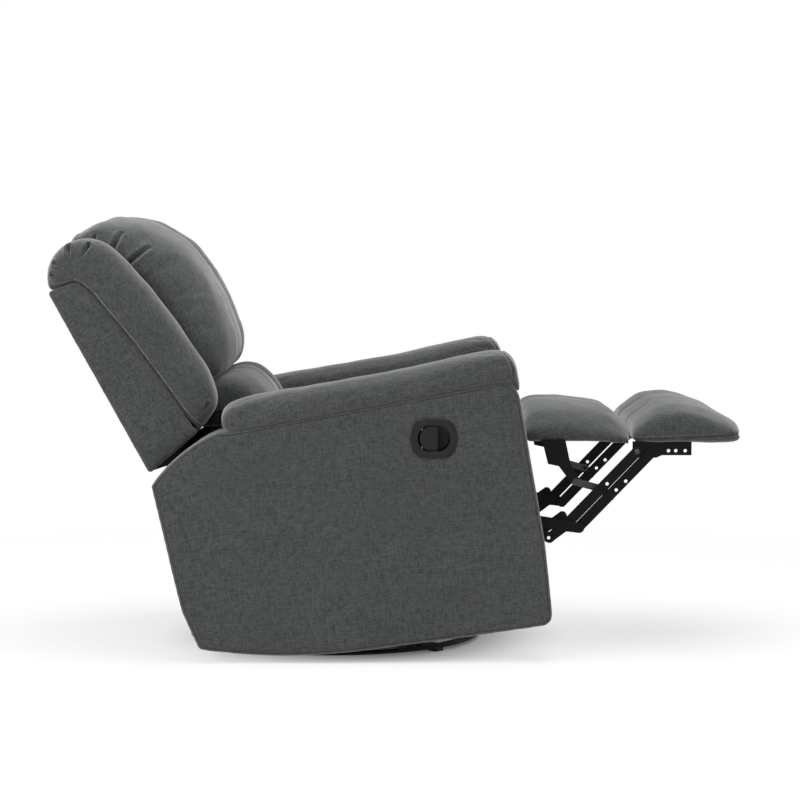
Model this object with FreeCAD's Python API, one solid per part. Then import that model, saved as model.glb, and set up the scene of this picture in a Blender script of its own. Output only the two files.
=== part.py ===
"""Swivel glider recliner: a fabric easy chair on a ring base, photographed rocked back with its
footrest out. Millimetres, +Z up. The origin is on the floor, on the axis of the swivel.
The chair faces -Y, and the sitter's right hand, with the release handle, is at -X.
"""
import math
import os
import FreeCAD, Part
from FreeCAD import Vector

# Overall sizes and the photographed pose
ROCK = 9.5                # how far the chair is rocked back, degrees
ARM_OUTER = 390.0         # half the width over the arm boxes
ARM_INNER = 268.0         # half the room between the arm boxes
SEAT_HALF = 262.0         # half the seat cushion's width
BACK_HALF = 337.0         # half the width of the back
BACK_LEAN = 19.4          # lean of the back from square, degrees, with the chair level
BACK_FOOT = (-327.0, 470.0)     # rear bottom corner of the back: front, up
BACK_HEIGHT = 451.0       # length of the back's rear face
RECLINE_PIVOT = (-86.5, 215.3)  # front, up, with the chair level
REAR_ARC = 329.7          # radius of the arm box's rear top about the recline pivot
SOFT_GAP = 0.4            # room left round soft pieces
RUN_GAP = 0.05            # radial clearance of a pin in its hole
WEB = 2.0                 # thickness of the elastic straps
SHEET = 3.0               # thickness of the link steel
PLATE = 4.0               # thickness of the mechanism's carrying plates

# Base and swivel
RING_OUTER = 335.0
RING_WIDTH = 28.0
RING_THICK = 5.0
GLIDE_HEIGHT = 8.0
PAD_HALF = 12.0           # half the side of a floor pad
CROSS_WIDTH = 45.0
RACE_HALF = 84.0          # half the side of the hub's square plate
RACE_THICK = 3.0
BOLT_RADIUS = 8.0
BEARING_THICK = 3.0
NUT_HEIGHT = 6.0
STAND_HALF = 154.0        # half width over the stand's uprights
STAND_FRONT = 150.0
STAND_REAR = -125.0

# Glide links, in the photographed pose: front, up
GLIDE_FRONT_TOP = (100.0, 214.0)
GLIDE_REAR_TOP = (-74.0, 243.0)
GLIDE_FRONT_FOOT = (119.0, 120.0)
GLIDE_REAR_FOOT = (-3.0, 122.0)
GLIDE_PIN = 5.0
GLIDE_END = 14.0
GLIDE_REACH = 7.3         # length of an upper pin beyond its upright
RECLINE_PIN = 6.0
TUBE_HALF = 11.0          # half the side of the square cross tubes
OPEN_ROOM = 1.9           # extra radius in the rear link's lower hole

# Footrest linkage, in the photographed pose: front, up
DRIVE_PIVOT = (334.3, 311.9)
CONTROL_PIVOT = (300.0, 350.0)
BAR_FOOT = (544.0, 280.0)
BAR_HEAD = (702.0, 444.0)
BAR_OFFSET = (-30.0, 5.0)     # from the rear bar's pivots to the front bar's
CONTROL_HEAD = (507.0, 306.0)
FLIPPER_HINGE = (662.5, 475.0)
FLIPPER_LEVER = (538.0, 380.0)
FLIPPER_EAR = (598.0, 364.0)
BAR_HALF = 11.5
LINK_PIN = 4.0
LINK_EAR = 11.0
PIN_END = 0.8             # how far a pin stands beyond the link on it
SPARE_HOLE = 4.0
HINGE_PIN = 2.5
CONTROL_ROOM = 1.6        # extra radius in the control link's head hole
# Gap from the carrying plate in to each flat link
LAYER = {"drive": 0.6, "front_bar": 6.0, "control": 9.6, "rear_bar": 13.2, "bracket": 16.8,
         "flip_link": 21.4, "lever": 25.0}

# Footrest pads: front, up
PAD_BOTTOM = 471.0
BOARD_THICK = 12.0
OUTER_PAD = (667.0, 894.0)
INNER_PAD = (424.0, 658.0)
OUTER_HALF = 258.0
INNER_HALF = 234.0
CHANNEL_DEPTH = 9.0

# Release handle, on the right arm box: front, up
HANDLE_AT = (219.0, 490.0)
BEZEL_LONG = 102.0
BEZEL_HIGH = 84.5
BEZEL_RIM = 3.0
OPENING_LONG = 70.5
OPENING_HIGH = 55.7
CUP_DEPTH = 42.0
CUP_WALL = 2.5
CUP_HALF_LONG = 39.0      # half the hole in the arm box for the cup
CUP_HALF_HIGH = 31.5
FLAP_LONG = 44.0
FLAP_THICK = 6.0
FLAP_GAP = 0.6
FLAP_HEEL = 3.0           # extra room behind the flap, for its swing
FLAP_PIN = 2.0

# Arm boxes and pads
COVER = 14.0
INNER_BOARD = 12.0
POST_DEPTH = 36.0
POST_THICK = 30.0

NODES = {}


def place(front, up, x=0.0):
    return Vector(x, -front, up)


def level_of(point):
    """A photographed place, as it stands with the chair level."""
    turn = math.radians(ROCK)
    front, up = point
    return (front * math.cos(turn) + up * math.sin(turn), -front * math.sin(turn) + up * math.cos(turn))


def rocked(shape):
    """A piece drawn with the chair level, rocked back into the photographed pose."""
    turned = shape.copy()
    turned.rotate(Vector(0, 0, 0), Vector(1, 0, 0), -ROCK)
    return turned


def mirrored(shape):
    return shape.mirror(Vector(0, 0, 0), Vector(1, 0, 0))


def keep(name, *shapes):
    solids = [solid for shape in shapes for solid in shape.Solids]
    NODES[name] = solids[0] if len(solids) == 1 else Part.makeCompound(solids)


def keep_pair(name, right):
    keep(name + "_right", right)
    keep(name + "_left", mirrored(right))


def keep_both(name, *rights):
    """Small like pieces of the right and left side, in one node."""
    keep(name, *[each for right in rights for each in (right, mirrored(right))])


def wire(points, x=0.0):
    """A closed outline: a point is the end of a straight run, a pair of points an arc through the first."""
    edges = []
    here = place(*points[0], x)
    first = here
    for step in points[1:]:
        if isinstance(step[0], tuple):
            middle, end = place(*step[0], x), place(*step[1], x)
            edges.append(Part.Arc(here, middle, end).toShape())
        else:
            end = place(*step, x)
            edges.append(Part.makeLine(here, end))
        here = end
    if (here - first).Length > 0.001:
        edges.append(Part.makeLine(here, first))
    return Part.Wire(edges)


def slab(points, x_from, x_to):
    """A side outline made solid between two places across the chair."""
    return Part.Face(wire(points, x_from)).extrude(Vector(x_to - x_from, 0, 0))


def block(front_from, front_to, up_from, up_to, x_from, x_to):
    corner = Vector(min(x_from, x_to), -max(front_from, front_to), up_from)
    return Part.makeBox(abs(x_to - x_from), abs(front_to - front_from), up_to - up_from, corner)


def rod(centre, radius, x_from, x_to):
    """A round bar across the chair."""
    return Part.makeCylinder(radius, abs(x_to - x_from), place(*centre, min(x_from, x_to)), Vector(1, 0, 0))


def strap(start, end, half, x_from, x_to, half_end=None):
    """A flat stamped link with clipped ends, which may taper."""
    half_end = half if half_end is None else half_end
    run = math.hypot(end[0] - start[0], end[1] - start[1])
    along = ((end[0] - start[0]) / run, (end[1] - start[1]) / run)
    clip = math.tan(math.radians(22.5))

    def at(point, ahead, aside):
        return (point[0] + along[0] * ahead - along[1] * aside,
                point[1] + along[1] * ahead + along[0] * aside)

    points = []
    for point, size, way in ((end, half_end, 1), (start, half, -1)):
        for ahead, aside in ((clip, 1), (1, clip), (1, -clip), (clip, -1)):
            points.append(at(point, way * size * ahead, way * size * aside))
    return slab(points, x_from, x_to)


def chain(points, half, x_from, x_to):
    """Straps end to end, as one flat plate."""
    plate = strap(points[0], points[1], half, x_from, x_to)
    for start, end in zip(points[1:], points[2:]):
        plate = plate.fuse(strap(start, end, half, x_from, x_to))
    return plate.removeSplitter()


def drilled(plate, centre, radius, x_from, x_to):
    return plate.cut(rod(centre, radius, x_from - 1, x_to + 1))


def punched(plate, centres, x_from, x_to):
    """Spare holes, eight-sided so that they cost few faces."""
    for front, up in centres:
        ring = [(front + SPARE_HOLE * math.cos(math.radians(45 * k + 22.5)),
                 up + SPARE_HOLE * math.sin(math.radians(45 * k + 22.5))) for k in range(8)]
        plate = plate.cut(slab(ring, x_from - 1, x_to + 1))
    return plate


def pinned(plate, centre, radius, x_from, x_to):
    """A pivot pin riveted into the plate that carries it, and one solid with it."""
    return plate.fuse(rod(centre, radius, x_from, x_to)).removeSplitter()


def section(up_low, up_high, half, front, bulge=4.0, crown=12.0, lobes=1, centre=0.0, sag=0.0):
    """A line across a cushion: flat below, bulged sides, and crowned lobes side by side on top."""
    shoulder = up_high - crown
    points = [(-half, up_low), (half, up_low), (half + bulge, (up_low + shoulder) / 2)]
    width = 2 * half / lobes
    right, right_up = half, shoulder
    for lobe in range(lobes):
        left = right - width
        left_up = shoulder if lobe == lobes - 1 else up_high - sag
        rise = up_high - (right_up + left_up) / 2
        for share in (0.0, 0.28, 0.72):
            line = right_up + (left_up - right_up) * share
            points.append((right - width * share, line + 4 * rise * share * (1 - share)))
        right, right_up = left, left_up
    points += [(-half, shoulder), (-half - bulge, (up_low + shoulder) / 2)]
    return Part.makePolygon([place(front, up, centre + x) for x, up in points + points[:1]])


def loft(wires, ruled=True):
    return Part.makeLoft(wires, True, ruled)


def base():
    """Ring with a cross, pads under it, and the hub that the chair turns on."""
    top = GLIDE_HEIGHT + RING_THICK
    ring = Part.makeCylinder(RING_OUTER, RING_THICK, Vector(0, 0, GLIDE_HEIGHT))
    ring = ring.cut(Part.makeCylinder(RING_OUTER - RING_WIDTH, RING_THICK, Vector(0, 0, GLIDE_HEIGHT)))
    reach = RING_OUTER - RING_WIDTH / 2
    pads = [block(-PAD_HALF, PAD_HALF, 0, GLIDE_HEIGHT, -PAD_HALF, PAD_HALF)]
    for turn in (45, 135, 225, 315):
        corner = Vector(0, -CROSS_WIDTH / 2, GLIDE_HEIGHT)
        bar = Part.makeBox(reach, CROSS_WIDTH, RING_THICK, corner)
        pad = block(-PAD_HALF, PAD_HALF, 0, GLIDE_HEIGHT, reach - PAD_HALF, reach + PAD_HALF)
        for piece in (bar, pad):
            piece.rotate(Vector(0, 0, 0), Vector(0, 0, 1), turn)
        ring = ring.fuse(bar)
        pads.append(pad)
    keep("base_ring", ring.removeSplitter())
    keep("floor_glides", *pads)

    hub = block(-RACE_HALF, RACE_HALF, top, top + RACE_THICK, -RACE_HALF, RACE_HALF)
    bearing_low = top + RACE_THICK
    bearing = Part.makeCylinder(RACE_HALF - 6, BEARING_THICK, Vector(0, 0, bearing_low))
    deck = bearing_low + BEARING_THICK + RUN_GAP
    nut_low = deck + PLATE + 0.3
    hub = hub.fuse(Part.makeCylinder(BOLT_RADIUS, nut_low - top, Vector(0, 0, top)))
    corners = [Vector(1.8 * BOLT_RADIUS * math.cos(math.radians(60 * k)),
                      1.8 * BOLT_RADIUS * math.sin(math.radians(60 * k)), nut_low) for k in range(7)]
    nut = Part.Face(Part.makePolygon(corners)).extrude(Vector(0, 0, NUT_HEIGHT))
    keep("swivel_hub", hub.fuse(nut).removeSplitter())
    bore = Part.makeCylinder(BOLT_RADIUS + RUN_GAP, BEARING_THICK, Vector(0, 0, bearing_low))
    keep("swivel_bearing", bearing.cut(bore))
    return deck


def stand(deck):
    """The turning stand: a deck plate and two uprights with the pins that the glide links hang on."""
    inner = STAND_HALF - PLATE
    plate = block(STAND_REAR, STAND_FRONT, deck, deck + PLATE, -STAND_HALF, STAND_HALF)
    for rear in (STAND_REAR + 28, STAND_FRONT - 55):
        plate = plate.cut(block(rear, rear + 27, deck - 1, deck + PLATE + 1, -inner + 40, inner - 40))
    bore = Part.makeCylinder(BOLT_RADIUS + RUN_GAP, PLATE + 2, Vector(0, 0, deck - 1))
    keep("swivel_deck", plate.cut(bore))

    low = deck + PLATE
    half = 16.0
    front_leg = strap((STAND_FRONT - 32, low + half), GLIDE_FRONT_TOP, half + 4, -STAND_HALF, -inner, half)
    rear_leg = strap((STAND_REAR + 28, low + half), GLIDE_REAR_TOP, half + 4, -STAND_HALF, -inner, half)
    sill = block(STAND_REAR + 4, STAND_FRONT - 8, low, low + 2 * half, -STAND_HALF, -inner)
    tie = strap((-82.0, 150.0), (106.0, 150.0), 11, -STAND_HALF, -inner)
    flange = block(STAND_REAR + 4, STAND_FRONT - 8, low, low + PLATE, -inner, -inner + 28)
    upright = sill.fuse([front_leg, rear_leg, tie, flange]).removeSplitter()
    upright = upright.common(block(-400, 400, low, 400, -STAND_HALF, STAND_HALF))
    for pivot in (GLIDE_FRONT_TOP, GLIDE_REAR_TOP):
        upright = pinned(upright, pivot, GLIDE_PIN, -STAND_HALF - GLIDE_REACH, -STAND_HALF)
    keep_both("glide_uprights", upright)


def glide_links():
    outer, inner = -(STAND_HALF + 7), -(STAND_HALF + 3)
    front = strap(GLIDE_FRONT_TOP, GLIDE_FRONT_FOOT, GLIDE_END, outer, inner)
    for pivot in (GLIDE_FRONT_TOP, GLIDE_FRONT_FOOT):
        front = drilled(front, pivot, GLIDE_PIN + RUN_GAP, outer, inner)
    keep_both("glide_links_front", front)
    rear = strap(GLIDE_REAR_TOP, GLIDE_REAR_FOOT, GLIDE_END, outer, inner)
    rear = drilled(rear, GLIDE_REAR_TOP, GLIDE_PIN + RUN_GAP, outer, inner)
    rear = drilled(rear, GLIDE_REAR_FOOT, GLIDE_PIN + OPEN_ROOM, outer, inner)
    keep_both("glide_links_rear", rear)


def cradle():
    """Rails with pins on the lower ends of the glide links, and the square tubes that tie the chair."""
    rail_in, rail_out = -(STAND_HALF + 8), -(STAND_HALF + 12)
    tubes = ((215.0, 95.0), (-215.0, 110.0))
    rail = chain([tubes[1], level_of(GLIDE_REAR_FOOT), level_of(GLIDE_FRONT_FOOT), tubes[0]], 17,
                 rail_out, rail_in)
    reach = ARM_INNER - PLATE
    for name, (front, up) in zip(("cross_tube_front", "cross_tube_rear"), tubes):
        outside, inside = [block(front - half, front + half, up - half, up + half, -reach, reach)
                           for half in (TUBE_HALF, TUBE_HALF - 2)]
        rail = rail.cut(outside)
        keep(name, rocked(outside.cut(inside)))
    rail = rocked(rail)
    for foot in (GLIDE_FRONT_FOOT, GLIDE_REAR_FOOT):
        rail = pinned(rail, foot, GLIDE_PIN, rail_in, rail_in + GLIDE_REACH - 2)
    keep_both("cradle_rails", rail)
    return tubes


def side_plates(tubes):
    """The steel plate inside each arm box that carries the tubes, the footrest links and the back."""
    outer, inner = -ARM_INNER, -(ARM_INNER - PLATE)
    drive, control = level_of(DRIVE_PIVOT), level_of(CONTROL_PIVOT)
    plate = chain([RECLINE_PIVOT, (200.0, 222.0), drive], 17, outer, inner)
    plate = plate.fuse([strap((215.0, 225.0), tubes[0], 18, outer, inner),
                        chain([RECLINE_PIVOT, (-180.0, 190.0), tubes[1]], 17, outer, inner),
                        strap((250.0, 235.0), control, 15, outer, inner)]).removeSplitter()
    plate = pinned(plate, RECLINE_PIVOT, RECLINE_PIN, inner, inner + PLATE + 1.0)
    for centre, link in ((drive, "drive"), (control, "control")):
        plate = pinned(plate, centre, LINK_PIN, inner, layer(link)[1] + PIN_END)
    keep_pair("mechanism_plate", rocked(plate))


def layer(name):
    """Outer and inner face of a link of the footrest, on the right side."""
    outer = -(ARM_INNER - PLATE) + LAYER[name]
    return outer, outer + SHEET


def footrest_links():
    """Lazy tongs: drive link, two parallel bars, control link, and the bracket under the pad."""
    front_foot = (BAR_FOOT[0] + BAR_OFFSET[0], BAR_FOOT[1] + BAR_OFFSET[1])
    front_head = (BAR_HEAD[0] + BAR_OFFSET[0], BAR_HEAD[1] + BAR_OFFSET[1])

    def free(plate, centre, faces, room=RUN_GAP):
        return drilled(plate, centre, LINK_PIN + room, *faces)

    faces = layer("drive")
    drive = strap(DRIVE_PIVOT, front_foot, 14, *faces, 13)
    drive = drive.fuse([strap(front_foot, BAR_FOOT, 13, *faces, LINK_EAR),
                        strap((405.0, 290.0), (478.0, 258.0), 13, *faces, 11),
                        strap((478.0, 258.0), front_foot, 11, *faces)]).removeSplitter()
    drive = punched(free(drive, DRIVE_PIVOT, faces), [(476.5, 258.0)], *faces)
    drive = pinned(drive, front_foot, LINK_PIN, faces[1], layer("front_bar")[1] + PIN_END)
    drive = pinned(drive, BAR_FOOT, LINK_PIN, faces[1], layer("rear_bar")[1] + PIN_END)
    keep_both("drive_links", drive)

    faces = layer("front_bar")
    front_bar = strap(front_foot, front_head, BAR_HALF, *faces)
    front_bar = front_bar.fuse(strap(front_foot, CONTROL_HEAD, BAR_HALF, *faces, 9)).removeSplitter()
    for centre in (front_foot, front_head):
        front_bar = free(front_bar, centre, faces)
    front_bar = punched(front_bar, [(606.0, 377.5)], *faces)
    front_bar = pinned(front_bar, CONTROL_HEAD, LINK_PIN, faces[1], layer("control")[1] + PIN_END)
    keep_both("front_bars", front_bar)

    faces = layer("control")
    control = chain([CONTROL_PIVOT, (392.0, 292.0), (470.0, 279.0), CONTROL_HEAD], 10, *faces)
    control = free(control, CONTROL_PIVOT, faces)
    keep_both("control_links", free(control, CONTROL_HEAD, faces, CONTROL_ROOM))

    faces = layer("rear_bar")
    rear_bar = strap(BAR_FOOT, BAR_HEAD, BAR_HALF, *faces)
    rear_bar = rear_bar.fuse(strap((610.0, 349.0), FLIPPER_EAR, 12, *faces, 8)).removeSplitter()
    for centre in (BAR_FOOT, BAR_HEAD):
        rear_bar = free(rear_bar, centre, faces)
    rear_bar = punched(rear_bar, [(627.0, 363.0), (648.0, 382.6)], *faces)
    rear_bar = pinned(rear_bar, FLIPPER_EAR, LINK_PIN, faces[1], layer("flip_link")[1] + PIN_END)
    keep_both("rear_bars", rear_bar)

    faces = layer("bracket")
    bracket = slab([(663.0, 446.0), (669.0, 438.0), (678.0, 434.5), (716.0, 434.5), (728.0, 440.0),
                    (794.0, 440.0), (794.0, PAD_BOTTOM), (663.0, PAD_BOTTOM)], *faces)
    bracket = punched(bracket, [(743.0, 450.0), (759.0, 450.0), (780.0, 450.0)], *faces)
    flange = block(671, 794, PAD_BOTTOM - SHEET, PAD_BOTTOM, faces[1], faces[1] + 22)
    bracket = bracket.fuse(flange).removeSplitter()
    bracket = pinned(bracket, front_head, LINK_PIN, layer("front_bar")[0] - PIN_END, faces[0])
    bracket = pinned(bracket, BAR_HEAD, LINK_PIN, layer("rear_bar")[0] - PIN_END, faces[0])
    keep_both("footrest_brackets", bracket)


def flipper():
    """The inner pad's steel levers and the links that fold it under the seat."""
    faces = layer("lever")
    lever = slab([(463.0, 472.0), (515.0, 472.0), (526.0, 420.0), (547.0, 384.0), (541.0, 373.0),
                  (530.0, 375.0), (500.0, 415.0), (476.0, 420.0)], *faces)
    foot = block(463, 515, 472 - SHEET, 472, faces[1], faces[1] + 20)
    keep_both("flipper_brackets", punched(lever.fuse(foot).removeSplitter(), [FLIPPER_LEVER], *faces))
    faces = layer("flip_link")
    link = strap(FLIPPER_LEVER, FLIPPER_EAR, 8, *faces)
    keep_both("flipper_links", drilled(link, FLIPPER_EAR, LINK_PIN + RUN_GAP, *faces))


def keep_hinge():
    """The hinge between the boards: a leaf with two barrels and the pin, and a leaf with one barrel."""
    for name, side, spans, bore in (("hinge_leaf_outer", 1, ((-90.0, -30.0), (30.0, 90.0)), 0.0),
                                    ("hinge_leaf_inner", -1, ((-29.4, 29.4),), RUN_GAP)):
        near, far, root = [FLIPPER_HINGE[0] + side * reach for reach in (4.4, 24.0, 3.0)]
        low = PAD_BOTTOM - 2 if side > 0 else PAD_BOTTOM - 1
        pieces = [block(near, far, low, low + 2, spans[0][0], spans[-1][1])]
        for x_from, x_to in spans:
            pieces.append(block(root, near + side * 1.6, low, PAD_BOTTOM + 4, x_from, x_to))
            pieces.append(rod(FLIPPER_HINGE, HINGE_PIN + 2, x_from, x_to))
        if not bore:
            pieces.append(rod(FLIPPER_HINGE, HINGE_PIN, spans[0][1], spans[-1][0]))
        leaf = pieces[0].fuse(pieces[1:]).removeSplitter()
        if bore:
            leaf = drilled(leaf, FLIPPER_HINGE, HINGE_PIN + bore, *spans[0])
        else:
            leaf = leaf.cut(block(near, near + 5, low, low + 2, spans[0][1], spans[-1][0]))
        keep(name, leaf)


def footrest_pads():
    """Two boards with a piano hinge between them, and a channelled pad on each."""
    top = PAD_BOTTOM + BOARD_THICK
    board = block(OUTER_PAD[0] + 2, OUTER_PAD[1] - 20, PAD_BOTTOM, top, -OUTER_HALF + 6, OUTER_HALF - 6)
    keep("footrest_board", board)
    half = INNER_HALF - 4
    keep("flipper_board", block(INNER_PAD[0] + 8, INNER_PAD[1] - 4, PAD_BOTTOM + 1, top, -half, half))

    keep_hinge()
    low = top + SOFT_GAP
    stations = ((669, 538, 14), (682, 553, 5), (722, 563.5, 0), (770, 560, 0),
                (815, 552, 0), (850, 540, 1), (878, 520, 5), (892, 500, 12))

    def pad(half, bulge):
        return loft([section(low, up, half - inset, front, bulge, min(18, (up - low) * 0.4), 3,
                             sag=CHANNEL_DEPTH) for front, up, inset in stations])

    keep("footrest_pad", pad(OUTER_HALF, 3))
    stations = ((426, 520, 12), (434, 540, 4), (452, 548, 0), (520, 551, 0), (620, 545, 0), (654, 528, 8))
    keep("flipper_pad", pad(INNER_HALF, 2))


def arm_outline():
    arc_mid = math.radians(118)
    pivot_front, pivot_up = RECLINE_PIVOT
    via = (pivot_front + REAR_ARC * math.cos(arc_mid), pivot_up + REAR_ARC * math.sin(arc_mid))
    return [(463.0, 4.0), (60.0, 17.0), ((-120.0, 37.0), (-281.0, 77.5)), (-304.0, 164.0),
            on_arc(135.6), (via, on_arc(103.0)), (-140.0, 533.0), (440.0, 541.0),
            ((479.0, 533.0), (494.0, 498.0)), (497.0, 180.0), (488.0, 30.0), ((480.0, 10.0), (463.0, 4.0))]


def on_arc(angle):
    turn = math.radians(angle)
    return (RECLINE_PIVOT[0] + REAR_ARC * math.cos(turn), RECLINE_PIVOT[1] + REAR_ARC * math.sin(turn))


def inset(points, depth):
    """The same outline drawn in by a depth, with its arcs made straight."""
    corners = [points[0]] + [point[1] if isinstance(point[0], tuple) else point for point in points[1:]]
    if math.hypot(corners[0][0] - corners[-1][0], corners[0][1] - corners[-1][1]) < 0.01:
        corners = corners[:-1]
    smaller = Part.makePolygon([place(*corner) for corner in corners + corners[:1]]).makeOffset2D(-depth)
    return [(-vertex.Point.y, vertex.Point.z) for vertex in smaller.OrderedVertexes]


def arm_boxes():
    """Each arm box: an upholstered tray, a board that closes its inner side, and a wooden frame inside."""
    outline = arm_outline()
    board_face = ARM_INNER + INNER_BOARD
    tray = slab(outline, -ARM_OUTER, -board_face)
    tray = tray.cut(slab(inset(outline, COVER), -(ARM_OUTER - COVER), -board_face + 1))
    board = slab(outline, -board_face, -ARM_INNER)
    near, far = -(board_face + 20), -(board_face + 20 + POST_THICK)
    outside, inside = inset(outline, COVER + 0.3), inset(outline, COVER + POST_DEPTH)
    frame = slab(outside, far, near).cut(slab(inside, far - 1, near + 1))
    tray, board, frame = rocked(tray), rocked(board), rocked(frame)
    keep("arm_cover_left", mirrored(tray))
    cup = block(HANDLE_AT[0] - CUP_HALF_LONG, HANDLE_AT[0] + CUP_HALF_LONG, HANDLE_AT[1] - CUP_HALF_HIGH,
                HANDLE_AT[1] + CUP_HALF_HIGH, -(ARM_OUTER + 1), -(ARM_OUTER - COVER - 1))
    keep("arm_cover_right", tray.cut(cup))
    keep_pair("arm_board", board)
    keep_pair("arm_frame", frame)


def arm_pads():
    """The padded arm rest, which rolls over the front of the box."""
    centre = -(ARM_OUTER + ARM_INNER) / 2
    half = (ARM_OUTER - ARM_INNER) / 2 + 0.5
    stations = ((-152, 548, 570, 12), (-146, 540, 584, 6), (-128, 535, 595, 2), (-90, 534.3, 600, 0),
                (60, 536.4, 598, 0), (260, 539.2, 600, 0), (430, 541.7, 611, 0), (462, 544, 614, 0),
                (482, 536, 607, 1), (494, 516, 594, 3), (499, 506, 574, 8))
    wires = [section(low, high, half - inset, front, 3, min(13, (high - low) * 0.35), centre=centre)
             for front, low, high, inset in stations]
    keep_pair("arm_pad", rocked(loft(wires)))


def seat():
    """Rails and elastic straps between the arm boxes, and the cushion on them."""
    def web_line(front):
        """Underside of the straps, which slopes down to the rear."""
        return 446.0 + (front - 444.0) * 66.0 / 448.0

    for name, rear, low in (("seat_rail_front", 420.0, 432.0), ("seat_rail_rear", -5.0, 352.0)):
        front = rear + 25.0
        rail = slab([(rear, low), (front, low), (front, web_line(front)), (rear, web_line(rear))],
                    -ARM_INNER, ARM_INNER)
        keep(name, rocked(rail))
    web = slab([(-4.0, web_line(-4.0)), (444.0, web_line(444.0)), (444.0, web_line(444.0) + WEB),
                (-4.0, web_line(-4.0) + WEB)], -28, 28)
    straps = []
    for x in (-180, -60, 60, 180):
        strip = web.copy()
        strip.translate(Vector(x, 0, 0))
        straps.append(rocked(strip))
    keep("seat_webbing", *straps)

    def floor(front):
        return web_line(front) + WEB + SOFT_GAP

    stations = ((-10, 470, 10), (0, 486, 4), (30, 498, 0), (140, 508, 0), (260, 515, 0), (370, 512, 0),
                (440, 498, 4), (456, 480, 12))
    wires = [section(floor(front), high, SEAT_HALF - 4 - inset, front, 3,
                     min(20, (high - floor(front)) * 0.4), 3, sag=CHANNEL_DEPTH / 2)
             for front, high, inset in stations]
    keep("seat_cushion", rocked(loft(wires)))
    rear = slab([(-290.0, 105.0), (-304.0, 164.0), (-323.0, 440.0), (-313.0, 440.0), (-294.0, 166.0),
                 (-280.0, 105.0)], -ARM_INNER, ARM_INNER)
    keep("rear_panel", rocked(rear))


def back_at(ahead, along):
    """A place on the back, from its rear bottom corner: forward from its rear face, and up along it."""
    turn = math.radians(BACK_LEAN)
    return (BACK_FOOT[0] + ahead * math.cos(turn) - along * math.sin(turn),
            BACK_FOOT[1] + ahead * math.sin(turn) + along * math.cos(turn))


def leaned(shape):
    """A piece of the back drawn upright from its rear bottom corner, leaned and rocked into place."""
    turned = shape.copy()
    turned.rotate(Vector(0, 0, 0), Vector(1, 0, 0), -BACK_LEAN)
    turned.translate(place(*BACK_FOOT))
    return rocked(turned)


SEAM = [(63.0, 441.0), (78.0, 412.0), (94.0, 333.0), (112.0, 227.0), (127.0, 107.0), (134.0, 28.0)]


def back():
    """The outside back, its frame and straps, wings, head cushion and lumbar cushion."""
    wall = COVER
    outline = [(0.0, 0.0), (0.0, BACK_HEIGHT)] + SEAM
    shell = slab(outline, -BACK_HALF, BACK_HALF)
    hollow = slab([(wall, wall + 8), (wall, BACK_HEIGHT - wall), (200.0, BACK_HEIGHT - wall - 8),
                   (200.0, 44.0)], -(BACK_HALF - wall), BACK_HALF - wall)
    keep("back_cover", leaned(shell.cut(hollow)))

    post_in, post_out = ARM_INNER - PLATE - 0.4, ARM_INNER + 26
    post = slab([(wall + 0.3, 34.0), (wall + 0.3, 432.0), (50.0, 424.0), (60.0, 44.0)], -post_out, -post_in)
    rails = [slab([(wall + 0.3, up), (wall + 0.3, up + 50), (48.0, up + 50), (48.0, up)], -half, half)
             for up, half in ((50.0, post_in - PLATE), (215.0, post_in), (370.0, post_in))]
    keep("back_frame", *[leaned(post), leaned(mirrored(post))] + [leaned(rail) for rail in rails])

    def post_face(along):
        return 60.0 - (along - 44.0) * 10.0 / 380.0

    webs = [slab([(post_face(up), up), (post_face(up) + WEB, up), (post_face(up + 50) + WEB, up + 50),
                  (post_face(up + 50), up + 50)], -post_out, post_out) for up in (112, 190, 268, 346)]
    keep("back_webbing", *[leaned(web) for web in webs])

    near, far = -post_in, -post_in + PLATE
    arm = chain([RECLINE_PIVOT, (-102.0, 400.0), (-138.0, 562.0)], 14, near, far)
    arm = arm.fuse(chain([(-138.0, 562.0), back_at(110.0, 60.0), back_at(40.0, 90.0)], 14, near, far))
    arm = drilled(arm.removeSplitter(), RECLINE_PIVOT, RECLINE_PIN + RUN_GAP, near, far)
    keep_both("back_brackets", rocked(arm))

    wing_front = [(12.0, 478.5), ((40.0, 508.5), (87.5, 522.5)), ((135.0, 506.8), (168.6, 458.0)),
                  ((199.0, 318.0), (213.0, 180.5)), ((217.0, 123.0), (208.4, 77.1)), (194.1, 54.6),
                  (141.0, 29.3)]
    seam = [(front + SOFT_GAP, along) for front, along in reversed(SEAM)]
    top = [(2.0, BACK_HEIGHT + SOFT_GAP)]
    wing = slab(wing_front + seam[1:] + top, -BACK_HALF - 2, -(ARM_INNER - 2))
    keep_pair("back_wing", leaned(wing))

    def cushion(stations, half, crown, lobes, sag):
        """Sections across the back, stacked up it: rear, front, up the back, and inset."""
        wires = []
        for rear, front, along, inset in stations:
            top_round = min(crown, (front - rear) * 0.4)
            ring = section(rear, front, half - inset, 0, 3, top_round, lobes, sag=sag)
            ring.rotate(Vector(0, 0, 0), Vector(1, 0, 0), 90)
            ring.translate(Vector(0, 0, along))
            wires.append(ring)
        return leaned(loft(wires))

    head = ((200, 262, 110, 16), (138, 292, 136, 5), (59.3, 307, 168, 0), (56.5, 321, 260, 0),
            (54.5, 318, 350, 0), (67, 304, 410, 2), (66, 257, 482, 9), (84, 190, 528, 26))
    keep("head_cushion", cushion(head, 258, 60, 3, 14))
    lumbar = ((208, 288, -92, 10), (202, 308, -60, 2), (198, 314, 0, 0), (160, 313, 32, 0),
              (48.5, 306, 62, 0), (48.5, 292, 88, 4), (90, 262, 106, 14))
    keep("lumbar_cushion", cushion(lumbar, 248, 40, 3, 10))


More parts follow.
